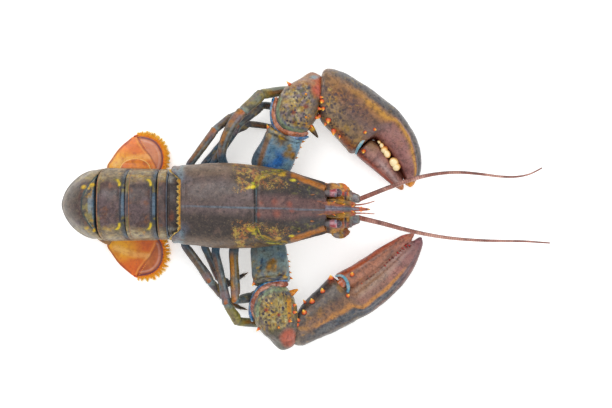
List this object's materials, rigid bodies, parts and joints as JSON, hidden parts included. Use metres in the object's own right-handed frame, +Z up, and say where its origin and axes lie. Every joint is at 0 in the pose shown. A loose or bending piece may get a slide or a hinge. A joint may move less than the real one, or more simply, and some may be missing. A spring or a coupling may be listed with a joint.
{
  "type": "american lobster",
  "caption": "Life-size American lobster lying on the floor, tail curled under its body, claws and long feelers held forward.",
  "frame": {"origin": "middle of the footprint's bounding box, at floor level", "axes": "+X towards the head, +Y to the animal's left, +Z up"},
  "size_m": [0.3111, 0.1791, 0.0559],
  "materials": {
    "shell": "satin",
    "claws": "satin",
    "joints": "satin",
    "fan": "satin",
    "feelers": "satin",
    "belly": "satin",
    "eyes": "glossy"
  },
  "bodies": {
    "root": {"carapace": "shell", "rostrum": "shell", "abdomen_ring_1": "shell", "abdomen_ring_2": "shell", "abdomen_ring_3": "shell", "abdomen_ring_4": "shell", "abdomen_ring_5": "shell", "abdomen_ring_6": "shell", "crusher_palm": "claws", "crusher_thumb": "claws", "cutter_palm": "claws", "cutter_thumb": "claws", "antenna_left_base": "claws", "antenna_right_base": "claws", "arm_left_hip": "joints", "arm_left_upper": "joints", "arm_left_wrist": "joints", "arm_right_hip": "joints", "arm_right_upper": "joints", "arm_right_wrist": "joints", "leg_left_1_thigh": "joints", "leg_left_1_shin": "joints", "leg_left_1_foot": "joints", "leg_left_2_thigh": "joints", "leg_left_2_shin": "joints", "leg_left_2_foot": "joints", "leg_left_3_thigh": "joints", "leg_left_3_shin": "joints", "leg_left_3_foot": "joints", "leg_left_4_thigh": "joints", "leg_left_4_shin": "joints", "leg_left_4_foot": "joints", "leg_right_1_thigh": "joints", "leg_right_1_shin": "joints", "leg_right_1_foot": "joints", "leg_right_2_thigh": "joints", "leg_right_2_shin": "joints", "leg_right_2_foot": "joints", "leg_right_3_thigh": "joints", "leg_right_3_shin": "joints", "leg_right_3_foot": "joints", "leg_right_4_thigh": "joints", "leg_right_4_shin": "joints", "leg_right_4_foot": "joints", "telson": "fan", "uropod_left": "fan", "uropod_right": "fan", "antenna_left": "feelers", "antenna_right": "feelers", "antennule_left": "feelers", "antennule_right": "feelers", "chest": "belly", "mouth_plate": "belly", "jaw_foot_left": "belly", "jaw_foot_right": "belly", "eye_left": "eyes", "eye_right": "eyes"}
  },
  "joints": []
}
